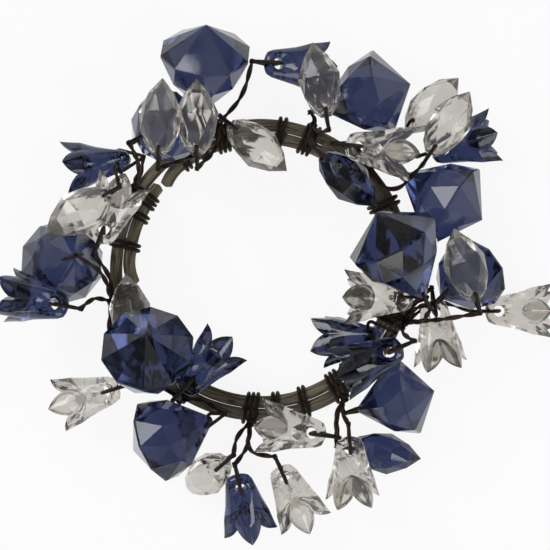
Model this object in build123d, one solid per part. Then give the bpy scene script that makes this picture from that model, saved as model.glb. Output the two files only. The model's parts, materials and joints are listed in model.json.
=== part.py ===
from build123d import *
import math
import os
from dataclasses import dataclass

import numpy as np

# Driving sizes of the vine ring, in millimetres
ring_radius = 55.4
rod_diameter = 5.0
top_rod_diameter = 3.6
rod_gap = 0.1
rod_end_bend_radius = 18.0
rod_end_bend_length = 11.0
rod_end_gap = 1.0

# Driving sizes of the paper covered wire
wire_diameter = 1.4
stem_diameter = 2.1
root_diameter = 3.6
winding_pitch = 2.1
winding_clearance = 0.15
table_gap = 0.2
stem_clearance = 0.35
hole_clearance = 0.3
leg_clearance = 0.3
bead_gap = 0.35

# Driving sizes of the gem beads, which share one cut
large_gem_diameter = 35.6
middle_gem_diameter = 33.4
small_gem_diameter = 29.4
gem_band = 1.0

# Driving sizes of the tulip beads
tulip_length = 21.0
tulip_flare_radius = 11.8
tulip_hole_diameter = 4.4

# Driving sizes of the bud beads
bud_length = 26.0
bud_radius = 8.2
bud_neck_length = 3.2

# How the picture is read: its pixels per ring radius, and where the eye stands
ring_radius_px = 138.5
ring_centre_px = (261.0, 270.0)
look_px = (275.0, 275.0)
eye_height = 600.0

# Angles in degrees
top_rod_start = 64.0
top_rod_end = -10.0
long_rod_start = 139.0
short_rod_end = 187.0
outer_rod_joint = 222.0
ring_step = 10

# Cut of a gem, as shares of its girdle radius, measured from the wire hole along its axis
gem_sides = 10
gem_girdle_share = 1.35
gem_crown_share = 0.66
gem_middle_place_share = 0.75
gem_middle_radius_share = 0.80
gem_tip_share = -0.20
gem_neck_end_share = -0.11

# A tulip's rings: place along the axis as a share of the length, then the share of the flare
# radius across the hole, along the hole, and how far petals and valleys part from it
tulip_petals = 5
tulip_place_shares = (-0.27, -0.20, 0.03, 0.36, 0.62, 1.0)
tulip_across_shares = (0.21, 0.40, 0.53, 0.65, 0.78, 0.82)
tulip_along_shares = (0.10, 0.21, 0.37, 0.58, 0.76, 0.82)
tulip_petal_shares = (0.0, 0.0, 0.0, 0.03, 0.10, 0.18)
tulip_valley_drop_shares = (0.0, 0.0, 0.0, 0.0, 0.0, 0.34)
# A petal's shoulders: their place on the line from tip to valley and how far below the tip they
# are, then the thick rim: the mouth's width and how far its edge lies below the outer one
tulip_shoulder_share = 0.65
tulip_shoulder_drop_shares = (0.0, 0.0, 0.0, 0.0, 0.0, 0.12)
tulip_mouth_share = 0.74
tulip_mouth_drop_share = 0.07
tulip_dimple_share = 0.48
tulip_sink_radius_share = 0.42

# A bud's rings: place along the axis and radius, as shares
bud_sides = 8
bud_place_shares = (0.0, 0.22, 0.50, 0.78)
bud_radius_shares = (0.62, 0.93, 1.0, 0.62)
bud_end_radius_share = 0.26
bud_thin_share = 0.86

# Shares of a wire's runs
fillet_share = 0.45
corner_share = 0.9
foot_share = 1.12
stem_span_share = 6.0
arch_shares = (0.0, 0.12, 0.25, 0.4, 0.6, 0.85, 1.1)
sway_shares = (0.0, 0.12, -0.12, 0.25, -0.25, 0.4, -0.4, 0.6, -0.6)
root_angle = 50.0
sharpest_turn = 125.0

# Sizes that follow
rod_radius = rod_diameter / 2
wire_radius = wire_diameter / 2
stem_radius = stem_diameter / 2
root_radius = root_diameter / 2
rod_offset = rod_radius + rod_gap / 2
rod_height = table_gap + wire_diameter + winding_clearance + rod_radius
top_rod_reach = rod_radius + top_rod_diameter / 2 + rod_gap
top_rod_rise = math.sqrt(top_rod_reach ** 2 - rod_offset ** 2)
winding_reach = rod_radius + winding_clearance + wire_radius
ring_top = rod_height + winding_reach + wire_radius
top_rod_top = rod_height + top_rod_rise + top_rod_diameter / 2
top_rod_ring_top = top_rod_top + winding_clearance + wire_diameter
inner_edge = ring_radius - rod_offset - rod_radius
outer_edge = ring_radius + rod_offset + rod_radius
wire_hole_diameter = wire_diameter + 2 * hole_clearance
mm_per_px = ring_radius / ring_radius_px


@dataclass
class Place:
    """Where a bead is seen, how it lies, and the knot that its wire comes from."""

    name: str
    kind: str
    hole_px: tuple
    heading: float
    pitch: float
    roll: float
    knot: str
    perch_share: float


# Stands for the pitch at which a gem lies flush on a facet, with its roll half a side
flush = None

# Beads from the lowest to the highest. The perch is the height of the lowest point as a share
# of the ring's height, and a bead that would meet what lies below it is lifted clear.
places = [
    Place("blue_gem_06", "middle_gem", (328, 107), 14, flush, 18, "top_right", 0),
    Place("blue_gem_07", "middle_gem", (408, 178), -31, flush, 18, "right", 0),
    Place("blue_gem_10", "small_gem", (362, 409), 15.5, flush, 18, "lower_right", 0),
    Place("blue_gem_05", "middle_gem", (207, 421), 203, -19, 30, "lower_left", 0),
    Place("blue_gem_03", "middle_gem", (72, 257), 195, -72, 0, "left", 0),
    Place("blue_gem_02", "small_gem", (140, 138), 33, -55, 0, "upper_left", 0),
    Place("blue_gem_09", "small_gem", (445, 295), 34, -40, 20, "lower_east", 0),
    Place("blue_gem_01", "large_gem", (204, 104), 86, 40, 0, "top_left", 0),
    Place("blue_tulip_01", "tulip", (277, 64), -3, -24, 0, "top_left", 0),
    Place("clear_bud_03", "bud", (325, 109), 101, 6, 0, "top_right", 0),
    Place("blue_tulip_07", "tulip", (369, 335), 187, -26, 90, "lower_east", 0),
    Place("clear_tulip_08", "tulip", (435, 314), -82, -8, 180, "lower_east", 0),
    Place("clear_tulip_09", "tulip", (399, 297), 180, -8, 0, "lower_east", 0),
    Place("blue_tulip_08", "tulip", (389, 352), 204, -8, 0, "lower_east", 0),
    Place("blue_gem_08", "large_gem", (421, 292), 120, 16, 0, "lower_east", 0),
    Place("clear_bud_04", "bud", (414, 124), 46, -4, 20, "right", 0),
    Place("blue_bud_02", "bud", (357, 449), -9, -3, 10, "lower_right", 0),
    Place("clear_bud_09", "bud", (222, 464), 221, -42, 0, "bottom", 0),
    Place("clear_bud_02", "bud", (197, 147), 90, 4, 0, "top_left", 0.6),
    Place("clear_tulip_02", "tulip", (104, 230), 68, -16, 0, "left", 0),
    Place("clear_tulip_03", "tulip", (107, 391), 197, -22, 0, "left", 0),
    Place("clear_tulip_04", "tulip", (285, 478), -66, -24, 0, "bottom", 0),
    Place("blue_tulip_06", "tulip", (240, 486), -78, -30, 0, "bottom", 0),
    Place("clear_tulip_05", "tulip", (312, 433), 172, -12, 0, "lower_right", 0),
    Place("clear_tulip_06", "tulip", (350, 450), -86, -12, 180, "lower_right", 0),
    Place("clear_tulip_07", "tulip", (499, 311), 1, 12, 0, "lower_east", 0),
    Place("blue_tulip_02", "tulip", (117, 161), 190, 5, 60, "upper_left", 0),
    Place("blue_tulip_03", "tulip", (444, 149), 15, 4, 0, "right", 0),
    Place("clear_tulip_01", "tulip", (359, 147), -7, -14, 0, "right", 0),
    Place("blue_tulip_05", "tulip", (191, 381), 47, -24, 0, "lower_left", 0),
    Place("clear_bud_08", "bud", (133, 339), 97, -8, 0, "left", 0),
    Place("blue_gem_04", "large_gem", (151, 377), 88, 60, 0, "lower_left", 0),
    Place("clear_bud_06", "bud", (236, 129), -39, -8, 0, "top_left", 0),
    Place("blue_bud_01", "bud", (328, 161), -43, 0, 0, "top_right", 0),
    Place("blue_tulip_04", "tulip", (55, 304), 170, -14, 180, "left", 0),
    Place("clear_bud_10", "bud", (474, 293), 108, 4, 0, "lower_east", 0),
    Place("clear_bud_07", "bud", (102, 198), 214, 20, 0, "upper_left", 0),
    Place("clear_bud_05", "bud", (434, 147), 57, -2, 0, "right", 0),
    Place("clear_bud_01", "bud", (159, 147), 87, 0, 0, "top_left", 0),
]

# Knots of wire on the ring: bearing in degrees and turns
knots = {
    "upper_left": (148.0, 3),
    "top_left": (106.0, 3),
    "top_right": (70.0, 3),
    "right": (46.0, 3),
    "lower_east": (-20.0, 3),
    "lower_right": (-57.0, 3),
    "bottom": (-94.0, 3),
    "lower_left": (-122.0, 3),
    "left": (192.0, 3),
}

# Plain windings: bearing in degrees and turns, by the side of the ring that they are on
windings = {
    "left": ((156.0, 2), (169.5, 2)),
    "top": ((124.5, 2), (115.5, 2), (82.0, 2)),
    "right": ((28.0, 2),),
    "bottom": ((-49.5, 2), (-72.0, 2), (-84.0, 2)),
}


def direction(heading, pitch):
    """Unit vector at a heading and a pitch in degrees."""
    turn = math.radians(heading)
    rise = math.radians(pitch)
    flat = math.cos(rise)
    return np.array([flat * math.cos(turn), flat * math.sin(turn), math.sin(rise)])


def polar(bearing, radius, height):
    """Point at a bearing in degrees round the ring."""
    turn = math.radians(bearing)
    return np.array([radius * math.cos(turn), radius * math.sin(turn), height])


def sighted(pixel, height):
    """Point at a height that the eye sees at a pixel."""
    look = [(look_px[0] - ring_centre_px[0]) * mm_per_px, (ring_centre_px[1] - look_px[1]) * mm_per_px]
    nearer = 1 - (height - rod_height) / eye_height
    x = look[0] + (pixel[0] - look_px[0]) * mm_per_px * nearer
    y = look[1] + (look_px[1] - pixel[1]) * mm_per_px * nearer
    return np.array([x, y, height])


def ring_of(count, across, along, place, turned):
    """Points of one ring of a bead, with its X axis along the wire hole."""
    step = 2 * math.pi / count
    angles = [step * (index + turned) for index in range(count)]
    return [(along * math.cos(a), across * math.sin(a), place) for a in angles]


def gem_points(diameter):
    """Corner points of a gem with its wire hole at the origin and its crown along Z."""
    radius = diameter / 2
    girdle = gem_girdle_share * radius
    slope = gem_middle_radius_share / (gem_middle_place_share - gem_tip_share)
    neck_radius = slope * (gem_neck_end_share - gem_tip_share) * radius
    middle_radius = gem_middle_radius_share * radius
    middle = gem_middle_place_share * radius
    points = ring_of(gem_sides, neck_radius, neck_radius, gem_neck_end_share * radius, 0.5)
    points += ring_of(gem_sides, middle_radius, middle_radius, middle, 0.5)
    points += ring_of(gem_sides, radius, radius, girdle - gem_band / 2, 0)
    points += ring_of(gem_sides, radius, radius, girdle + gem_band / 2, 0)
    points.append((0, 0, girdle + gem_band / 2 + gem_crown_share * radius))
    return points


def bud_points():
    """Corner points of a bud with its wire hole at the origin and its tip along Z."""
    end_radius = bud_end_radius_share * bud_radius
    points = ring_of(bud_sides, end_radius, end_radius, -bud_neck_length, 0.5)
    for index, place in enumerate(bud_place_shares):
        across = bud_radius_shares[index] * bud_radius
        points += ring_of(bud_sides, across, across * bud_thin_share, place * bud_length, index % 2 / 2)
    points.append((0, 0, bud_length))
    return points


def tulip_rings():
    """Rings of a tulip, each petal's tip, shoulder, valley and shoulder in turn, hole at the origin."""
    rings = []
    for index, place in enumerate(tulip_place_shares):
        across = tulip_across_shares[index] * tulip_flare_radius
        along = tulip_along_shares[index] * tulip_flare_radius
        part = tulip_petal_shares[index]
        height = place * tulip_length
        shoulder = height - tulip_shoulder_drop_shares[index] * tulip_length
        valley = height - tulip_valley_drop_shares[index] * tulip_length
        tips = ring_of(tulip_petals, across * (1 + part), along * (1 + part), height, 0)
        valleys = ring_of(tulip_petals, across * (1 - part), along * (1 - part), valley, 1 / 2)
        ring = []
        for petal in range(tulip_petals):
            after = (petal + 1) % tulip_petals
            ring += [tips[petal], between(tips[petal], valleys[petal], shoulder)]
            ring += [valleys[petal], between(tips[after], valleys[petal], shoulder)]
        rings.append(ring)
    return rings


def between(tip, valley, height):
    """A petal's shoulder at a height, on the line from its tip to a valley as seen from the front."""
    share = tulip_shoulder_share
    return (tip[0] + share * (valley[0] - tip[0]), tip[1] + share * (valley[1] - tip[1]), height)


def cross_hole(diameter, length):
    """Cylinder along X that cuts a bead's wire hole."""
    return Rot(0, 90, 0) * Cylinder(diameter / 2, length)


def convex_bead(points, reach):
    """Faceted bead round its corner points, drilled for the wire."""
    return ConvexPolyhedron(points) - cross_hole(wire_hole_diameter, reach)


def tulip_bead():
    """Bell with five thick petals, a dimple between them and a countersunk wire hole."""
    rings = tulip_rings()
    drop = tulip_mouth_drop_share * tulip_length
    rings.append([(x * tulip_mouth_share, y * tulip_mouth_share, z - drop) for x, y, z in rings[-1]])
    faces = [Face(Wire.make_polygon(rings[0]))]
    count = len(rings[0])
    for low, high in zip(rings, rings[1:]):
        for index in range(count):
            after = (index + 1) % count
            if index % 4 < 2:
                halves = ([low[index], low[after], high[index]], [low[after], high[after], high[index]])
            else:
                halves = ([low[index], low[after], high[after]], [low[index], high[after], high[index]])
            faces += [Face(Wire.make_polygon(half)) for half in halves]
    dimple = (0, 0, tulip_dimple_share * tulip_length)
    for index in range(count):
        faces.append(Face(Wire.make_polygon([rings[-1][index], rings[-1][(index + 1) % count], dimple])))
    bell = Solid(Shell(faces))
    sink_radius = tulip_sink_radius_share * tulip_flare_radius
    sink_reach = tulip_flare_radius * tulip_along_shares[2]
    sink_depth = sink_radius - tulip_hole_diameter / 2
    sink = Cone(sink_radius, tulip_hole_diameter / 2, sink_depth)
    bell -= cross_hole(tulip_hole_diameter, 2 * tulip_flare_radius)
    bell -= Pos(sink_reach - sink_depth / 2, 0, 0) * Rot(0, -90, 0) * sink
    bell -= Pos(sink_depth / 2 - sink_reach, 0, 0) * Rot(0, 90, 0) * sink
    return bell


@dataclass
class Kind:
    """A bead's solid, its corner points, facet normals and the size of its wire loop."""

    solid: object
    corners: np.ndarray
    normals: np.ndarray
    loop_half: float
    loop_back: float
    flush_pitch: float


def make_kind(solid, points, half_neck, back, flush_pitch=0.0):
    """Kind of bead from its solid, corner points and neck."""
    hull = ConvexPolyhedron(points)
    normals = np.array([tuple(face.normal_at()) for face in hull.faces()])
    loop_half = half_neck + leg_clearance + wire_diameter
    loop_back = back + stem_diameter + wire_diameter
    return Kind(solid, np.array(points), normals, loop_half, loop_back, flush_pitch)


def make_kinds():
    """All kinds of bead by name."""
    kinds = {}
    gems = {
        "large_gem": large_gem_diameter,
        "middle_gem": middle_gem_diameter,
        "small_gem": small_gem_diameter,
    }
    slope = gem_middle_radius_share / (gem_middle_place_share - gem_tip_share)
    for name, diameter in gems.items():
        half_neck = -gem_tip_share * slope * diameter / 2
        points = gem_points(diameter)
        back = half_neck + wire_diameter
        solid = convex_bead(points, diameter)
        kinds[name] = make_kind(solid, points, half_neck, back, facet_pitch(diameter / 2))
    points = bud_points()
    half_neck = bud_radius_shares[0] * bud_radius * bud_thin_share
    solid = convex_bead(points, 2 * bud_radius)
    kinds["bud"] = make_kind(solid, points, half_neck, bud_neck_length + wire_diameter)
    points = [point for ring in tulip_rings() for point in ring]
    half_neck = tulip_along_shares[2] * tulip_flare_radius
    back = -tulip_place_shares[0] * tulip_length
    kinds["tulip"] = make_kind(tulip_bead(), points, half_neck, back + wire_diameter)
    return kinds


def facet_pitch(radius):
    """Pitch at which a gem lies flush on a triangular facet below its girdle."""
    fall = (math.cos(math.pi / gem_sides) - gem_middle_radius_share) * radius
    run = (gem_girdle_share - gem_middle_place_share) * radius - gem_band / 2
    return math.degrees(math.atan(fall / run))


class Hull:
    """Convex keep-clear shape: corner points, outward facet normals and the planes they give."""

    def __init__(self, corners, normals):
        self.corners = np.array(corners, dtype=float)
        self.normals = np.array(normals, dtype=float)
        self.planes = (self.normals @ self.corners.T).max(axis=1)
        self.centre = self.corners.mean(axis=0)
        self.reach = np.linalg.norm(self.corners - self.centre, axis=1).max()

    def moved(self, offset):
        """The same shape moved by an offset."""
        return Hull(self.corners + offset, self.normals)

    def depth_of(self, points):
        """Least distance of points outside the shape, negative inside."""
        return float((points @ self.normals.T - self.planes).max(axis=1).min())


def parted(first, second):
    """Distance that a facet plane of either hull keeps between two hulls."""
    far = np.linalg.norm(first.centre - second.centre) - first.reach - second.reach
    if far > bead_gap:
        return far
    one = (first.normals @ second.corners.T).min(axis=1) - first.planes
    two = (second.normals @ first.corners.T).min(axis=1) - second.planes
    return max(one.max(), two.max())


class Bead:
    """One bead in its place, with its wire loop."""

    def __init__(self, place, kind):
        self.place = place
        self.kind = kind
        pitch = kind.flush_pitch if place.pitch is flush else place.pitch
        self.axis = direction(place.heading, pitch)
        level = direction(place.heading + 90, 0)
        up = np.cross(self.axis, level)
        roll = math.radians(place.roll)
        self.hole_axis = math.cos(roll) * up + math.sin(roll) * level
        self.side = np.cross(self.axis, self.hole_axis)
        turn = np.array([self.hole_axis, self.side, self.axis]).T
        self.shapes = [Hull(kind.corners @ turn.T, kind.normals @ turn.T), self.loop_hull()]
        lowest = min(float(shape.corners[:, 2].min()) for shape in self.shapes)
        self.stand_at(place.perch_share * ring_top - lowest)

    def loop_hull(self):
        """Keep-clear shape of the wire loop round the neck, about the hole."""
        thick = wire_radius * self.side
        back = -(self.kind.loop_back + stem_radius) * self.axis
        front = wire_radius * self.axis
        reach = (self.kind.loop_half + wire_radius) * self.hole_axis
        narrow = stem_radius * self.hole_axis
        outline = [back + narrow, back - narrow, front - reach, front + reach]
        lean = np.cross(self.side, front + reach - back - narrow)
        lean = lean / np.linalg.norm(lean)
        if lean @ self.hole_axis < 0:
            lean = -lean
        other = lean - 2 * (lean @ self.hole_axis) * self.hole_axis
        normals = [self.side, -self.side, self.axis, -self.axis, lean, other]
        return Hull([corner + push for corner in outline for push in (thick, -thick)], normals)

    def stand_at(self, height):
        """Put the wire hole at a height, where the eye sees it at its pixel."""
        self.hole = sighted(self.place.hole_px, height)
        self.hulls = [shape.moved(self.hole) for shape in self.shapes]

    def foot(self):
        """Point behind the neck where the loop's two legs meet the stem."""
        return self.hole - self.kind.loop_back * self.axis

    def solid(self):
        """The bead's solid in its place."""
        plane = Plane(origin=tuple(self.hole), x_dir=tuple(self.hole_axis), z_dir=tuple(self.axis))
        return self.kind.solid.moved(plane.location)


def wedge(bearing, step, top):
    """Keep-clear shape of a short stretch of the ring with its windings."""
    inner = inner_edge - winding_clearance - wire_diameter
    outer = (outer_edge + winding_clearance + wire_diameter) / math.cos(math.radians(step / 2))
    angles = (bearing - step / 2, bearing + step / 2)
    radii = (inner, outer)
    corners = [polar(angle, radius, height) for angle in angles for radius in radii for height in (0, top)]
    out = direction(bearing, 0)
    ahead = direction(bearing + 90 + step / 2, 0)
    behind = direction(bearing - 90 - step / 2, 0)
    return Hull(corners, [out, -out, ahead, behind, (0, 0, 1), (0, 0, -1)])


def block(centre, half):
    """Keep-clear cube round a point."""
    signs = (-half, half)
    corners = [centre + np.array([x, y, z]) for x in signs for y in signs for z in signs]
    level = np.eye(3)
    return Hull(corners, np.concatenate([level, -level]))


def on_top_rod(bearing):
    """Whether the third rod lies on the ring at a bearing."""
    return top_rod_end <= (bearing + 180) % 360 - 180 <= top_rod_start


def ring_obstacles():
    """Keep-clear shapes of the whole ring and of the knots' roots."""
    stretches = [
        wedge(bearing, ring_step, top_rod_ring_top if on_top_rod(bearing) else ring_top)
        for bearing in range(0, 360, ring_step)
    ]
    return stretches + [block(root_point(bearing), root_radius) for bearing, turns in knots.values()]


def settle(kinds):
    """Stand every bead, each lifted clear of the ring and of the beads below it."""
    obstacles = ring_obstacles()
    beads = []
    for place in places:
        bead = Bead(place, kinds[place.kind])
        start = bead.hole[2]
        while min(parted(hull, other) for hull in bead.hulls for other in obstacles) < bead_gap:
            bead.stand_at(bead.hole[2] + bead_gap)
        print(place.name, "hole height", round(bead.hole[2], 1), "lifted", round(bead.hole[2] - start, 1))
        obstacles += bead.hulls
        beads.append(bead)
    return beads


def turns_of(points):
    """Turn at each inner point of a route, in degrees."""
    runs = np.diff(points, axis=0)
    runs = runs / np.linalg.norm(runs, axis=1)[:, None]
    return np.degrees(np.arccos(np.clip((runs[:-1] * runs[1:]).sum(axis=1), -1, 1)))


def route_radii(points):
    """Bend radius at each inner point: as large as its two runs allow."""
    lengths = np.linalg.norm(np.diff(points, axis=0), axis=1)
    shorter = np.minimum(lengths[:-1], lengths[1:])
    return fillet_share * shorter / np.tan(np.radians(turns_of(points) / 2))


def route_samples(points):
    """Points along a route with its corners rounded, for measuring clearances."""
    points = np.array(points)
    lengths = np.linalg.norm(np.diff(points, axis=0), axis=1)
    samples = [points[0]]
    steps = np.linspace(0, 1, 7)[:, None]
    for index in range(1, len(points) - 1):
        trim = fillet_share * min(lengths[index - 1], lengths[index])
        before = points[index] + (points[index - 1] - points[index]) * trim / lengths[index - 1]
        after = points[index] + (points[index + 1] - points[index]) * trim / lengths[index]
        samples += list(samples[-1] + (before - samples[-1]) * steps[1:])
        rest = 1 - steps
        samples += list(rest ** 2 * before + 2 * steps * rest * points[index] + steps ** 2 * after)
    samples += list(samples[-1] + (points[-1] - samples[-1]) * steps[1:])
    return np.array(samples)


def tube(points, radii, diameter):
    """Round tube along straight runs joined by tangent arcs."""
    corners = [tuple(point) for point in points]
    path = FilletPolyline(*corners, radius=list(radii)) if len(corners) > 2 else Line(*corners)
    section = Plane(origin=path @ 0, z_dir=path % 0) * Circle(diameter / 2)
    return sweep(section, path=path)


def winding_route(bearing, turns):
    """Route of wire wound round the rods, starting and ending underneath."""
    low = rod_height - winding_reach
    high = rod_height + winding_reach
    if on_top_rod(bearing):
        high = top_rod_top + winding_clearance + wire_radius
    inner = ring_radius - rod_offset - winding_reach
    outer = ring_radius + rod_offset + winding_reach
    corners = [(outer, low), (outer, high), (inner, high), (inner, low)]
    count = 4 * turns
    half = turns * winding_pitch / 2
    points = []
    for index in range(-1, count + 1):
        radius, height = corners[index % 4]
        if index in (-1, count):
            radius = ring_radius
        along = winding_pitch * (index + 0.5) / 4 - half
        points.append(polar(bearing + math.degrees(along / ring_radius), radius, height))
    points[-1][2] = low
    return points


def winding(bearing, turns):
    """Wire wound round the rods, with the least gap between its turns printed."""
    points = winding_route(bearing, turns)
    radii = [corner_share * winding_reach] * (len(points) - 2)
    samples = route_samples(points)
    apart = np.linalg.norm(samples[:, None] - samples[None], axis=2)
    steps = np.linalg.norm(np.diff(samples, axis=0), axis=1)
    travelled = np.concatenate([[0], np.cumsum(steps)])
    distant = np.abs(travelled[:, None] - travelled[None]) > 4 * winding_pitch
    least = float(apart[distant].min()) - wire_diameter
    print("winding at", bearing, "least gap to itself", round(least, 2))
    return tube(points, radii, wire_diameter)


def root_point(bearing):
    """Place on the outer shoulder of the ring where a knot's wires leave it."""
    reach = rod_radius + winding_clearance + root_radius
    rise = math.radians(root_angle)
    radius = ring_radius + rod_offset + reach * math.cos(rise)
    return polar(bearing, radius, rod_height + reach * math.sin(rise))


def ring_depth(points):
    """Least distance of points from the rods, negative inside them."""
    radius = np.hypot(points[:, 0], points[:, 1])
    bearing = np.degrees(np.arctan2(points[:, 1], points[:, 0]))
    rise = points[:, 2] - rod_height
    outer = np.hypot(radius - ring_radius - rod_offset, rise) - rod_radius
    inner = np.hypot(radius - ring_radius + rod_offset, rise) - rod_radius
    top = np.hypot(radius - ring_radius, rise - top_rod_rise) - top_rod_diameter / 2
    raised = (bearing >= top_rod_end) & (bearing <= top_rod_start)
    return float(np.minimum(np.minimum(outer, inner), np.where(raised, top, outer)).min())


def loop_points(bead):
    """Corners of the wire loop through a bead: stem end, one side, other side, stem end."""
    side = bead.kind.loop_half * bead.hole_axis
    part = wire_radius / 2 * bead.hole_axis
    return [bead.foot() + part, bead.hole + side, bead.hole - side, bead.foot() - part]


def stem_routes(bead, root):
    """Routes that a bead's stem may take, the plainest first."""
    foot = bead.foot()
    span = max(np.linalg.norm(foot - root), stem_span_share * stem_diameter)
    across = np.cross(foot - root, (0, 0, 1))
    across = across / max(np.linalg.norm(across), wire_radius)
    offsets = [(arch, sway) for arch in arch_shares for sway in sway_shares]
    for arch, sway in sorted(offsets, key=lambda pair: math.hypot(*pair)):
        middle = (root + foot) / 2 + span * (arch * np.array([0, 0, 1]) + sway * across)
        yield [root, middle, foot]


def clearance(samples, root, beads, others):
    """Least clearance of a stem from the table, the ring, the beads and other knots' wires."""
    spans = [float(samples[:, 2].min()) - stem_radius - table_gap]
    spans.append(ring_depth(samples) - stem_radius - winding_clearance)
    beyond = samples[np.linalg.norm(samples - root, axis=1) > root_diameter]
    for other in beads:
        spans.append(other.hulls[0].depth_of(samples) - stem_radius - stem_clearance)
        if len(beyond) and np.linalg.norm(other.foot() - samples[-1]) > wire_radius:
            spans.append(other.hulls[1].depth_of(beyond) - stem_radius - stem_clearance)
    for line in others:
        apart = np.linalg.norm(samples[:, None] - line[None], axis=2).min()
        spans.append(float(apart) - stem_diameter - stem_clearance)
    return min(spans)


def choose_stem(bead, root, beads, others):
    """The plainest clear route of a stem, or the clearest one."""
    best = None
    for points in stem_routes(bead, root):
        turn = turns_of(np.array(points))[0]
        if turn < 1 or turn > sharpest_turn:
            continue
        room = clearance(route_samples(points), root, beads, others)
        if best is None or room > best[0]:
            best = (room, points)
        if room >= 0:
            break
    return best


def branch(bead, points):
    """A bead's stem and loop, fused."""
    radii = route_radii(np.array(points))
    stem = tube(points, radii, stem_diameter)
    loop = tube(loop_points(bead), [wire_diameter] * 2, wire_diameter)
    return stem.fuse(Pos(*bead.foot()) * Sphere(foot_share * stem_radius)).fuse(loop)


def spray(knot, beads, lines):
    """One knot on the ring with the stems and loops of all its beads, fused."""
    bearing, turns = knots[knot]
    root = root_point(bearing)
    others = [line for name, line in lines if name != knot]
    whole = winding(bearing, turns).fuse(Pos(*root) * Sphere(root_radius))
    for bead in beads:
        if bead.place.knot != knot:
            continue
        room, points = choose_stem(bead, root, beads, others)
        print(knot, bead.place.name, "stem room", round(room, 2))
        whole = whole.fuse(branch(bead, points))
        lines.append((knot, route_samples(points)))
    print(knot, "solids", len(whole.solids()), "volume", round(whole.volume))
    return whole


def rod(start, end, offset, height, diameter, bent=False):
    """Vine rod from one bearing round to another, its far end bent in towards the middle or not."""
    radius = ring_radius + offset
    last = end - (math.degrees(rod_end_bend_length / radius) if bent else 0)
    edges = [CenterArc((0, 0, height), radius, start, last - start)]
    if bent:
        centre = polar(last, radius - rod_end_bend_radius, height)
        turn = math.degrees(rod_end_bend_length / rod_end_bend_radius)
        edges.append(CenterArc(tuple(centre), rod_end_bend_radius, last, turn))
    path = Wire(edges)
    section = Plane(origin=path @ 0, z_dir=path % 0) * Circle(diameter / 2)
    return sweep(section, path=path)


def rods():
    """The four lengths of vine by name."""
    gap = math.degrees(rod_end_gap / ring_radius)
    low = (rod_height, rod_diameter)
    high = (rod_height + top_rod_rise, top_rod_diameter)
    return {
        "vine_rod_outer": rod(outer_rod_joint + gap - 360, outer_rod_joint, rod_offset, *low),
        "vine_rod_inner_short": rod(long_rod_start + gap, short_rod_end, -rod_offset, *low, bent=True),
        "vine_rod_inner_long": rod(short_rod_end + gap - 360, long_rod_start, -rod_offset, *low, bent=True),
        "vine_rod_top": rod(top_rod_end, top_rod_start, 0, *high),
    }


def main():
    """Build every node and write it."""
    os.makedirs("parts", exist_ok=True)
    nodes = rods()
    beads = settle(make_kinds())
    for bead in beads:
        nodes[bead.place.name] = bead.solid()
    lines = [(bead.place.knot, route_samples(loop_points(bead))) for bead in beads]
    lines += [(knot, route_samples(winding_route(*place))) for knot, place in knots.items()]
    lines += [(side, route_samples(winding_route(*place))) for side, wound in windings.items() for place in wound]
    for knot in knots:
        nodes["wire_spray_" + knot] = spray(knot, beads, lines)
    for side, wound in windings.items():
        nodes["wire_windings_" + side] = Compound([winding(*place) for place in wound])
    for name, shape in nodes.items():
        export_step(shape, "parts/" + name + ".step")


if __name__ == "__main__":
    main()
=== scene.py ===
"""Looks of a candle ring: faceted beads on paper covered wire, sprayed from a hoop of vine.

The scene is in metres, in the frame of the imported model. Sizes of the object are written in millimetres
and its angles in degrees.
"""

import json
import logging
import math
from dataclasses import dataclass, field
from enum import Enum
from typing import Callable, Optional, Sequence

import bpy
import numpy as np
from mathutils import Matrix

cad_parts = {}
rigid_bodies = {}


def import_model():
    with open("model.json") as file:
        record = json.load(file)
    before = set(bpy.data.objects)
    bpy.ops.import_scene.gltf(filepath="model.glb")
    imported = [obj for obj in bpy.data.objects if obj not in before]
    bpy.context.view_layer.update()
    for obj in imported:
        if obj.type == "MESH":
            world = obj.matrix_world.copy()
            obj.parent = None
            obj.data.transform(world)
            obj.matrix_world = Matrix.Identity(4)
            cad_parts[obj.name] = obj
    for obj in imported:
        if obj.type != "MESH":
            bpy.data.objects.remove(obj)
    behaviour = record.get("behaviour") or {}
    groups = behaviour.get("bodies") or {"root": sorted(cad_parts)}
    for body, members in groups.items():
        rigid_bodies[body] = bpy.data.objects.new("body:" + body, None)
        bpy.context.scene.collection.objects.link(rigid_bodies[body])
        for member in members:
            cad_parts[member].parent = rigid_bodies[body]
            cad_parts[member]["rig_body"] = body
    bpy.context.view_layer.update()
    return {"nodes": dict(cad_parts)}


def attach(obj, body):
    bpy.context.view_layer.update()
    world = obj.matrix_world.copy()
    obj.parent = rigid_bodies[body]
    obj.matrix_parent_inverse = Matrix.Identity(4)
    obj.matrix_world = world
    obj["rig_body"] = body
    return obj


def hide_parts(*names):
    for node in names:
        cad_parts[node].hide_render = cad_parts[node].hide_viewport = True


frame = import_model()

log = logging.getLogger("candle_ring")
MM = 0.001
UP = np.array([0.0, 0.0, 1.0])
SKEW = np.array([0.31, 0.52, 0.79])
HOOP_BODY = "ring"
ARC_POINTS = 17
FULL_PHASE = 6.28


class Slot(Enum):
    """Material slots of the record."""

    BLUE = "blue_acrylic"
    CLEAR = "clear_acrylic"
    BARK = "vine_bark"
    WIRE = "paper_wire"


class Knot(Enum):
    """Knots of wire on the hoop, each with its bearing in degrees."""

    UPPER_LEFT = 148.0
    TOP_LEFT = 106.0
    TOP_RIGHT = 70.0
    RIGHT = 46.0
    LOWER_EAST = -20.0
    LOWER_RIGHT = -57.0
    BOTTOM = -94.0
    LOWER_LEFT = -122.0
    LEFT = 192.0


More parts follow.
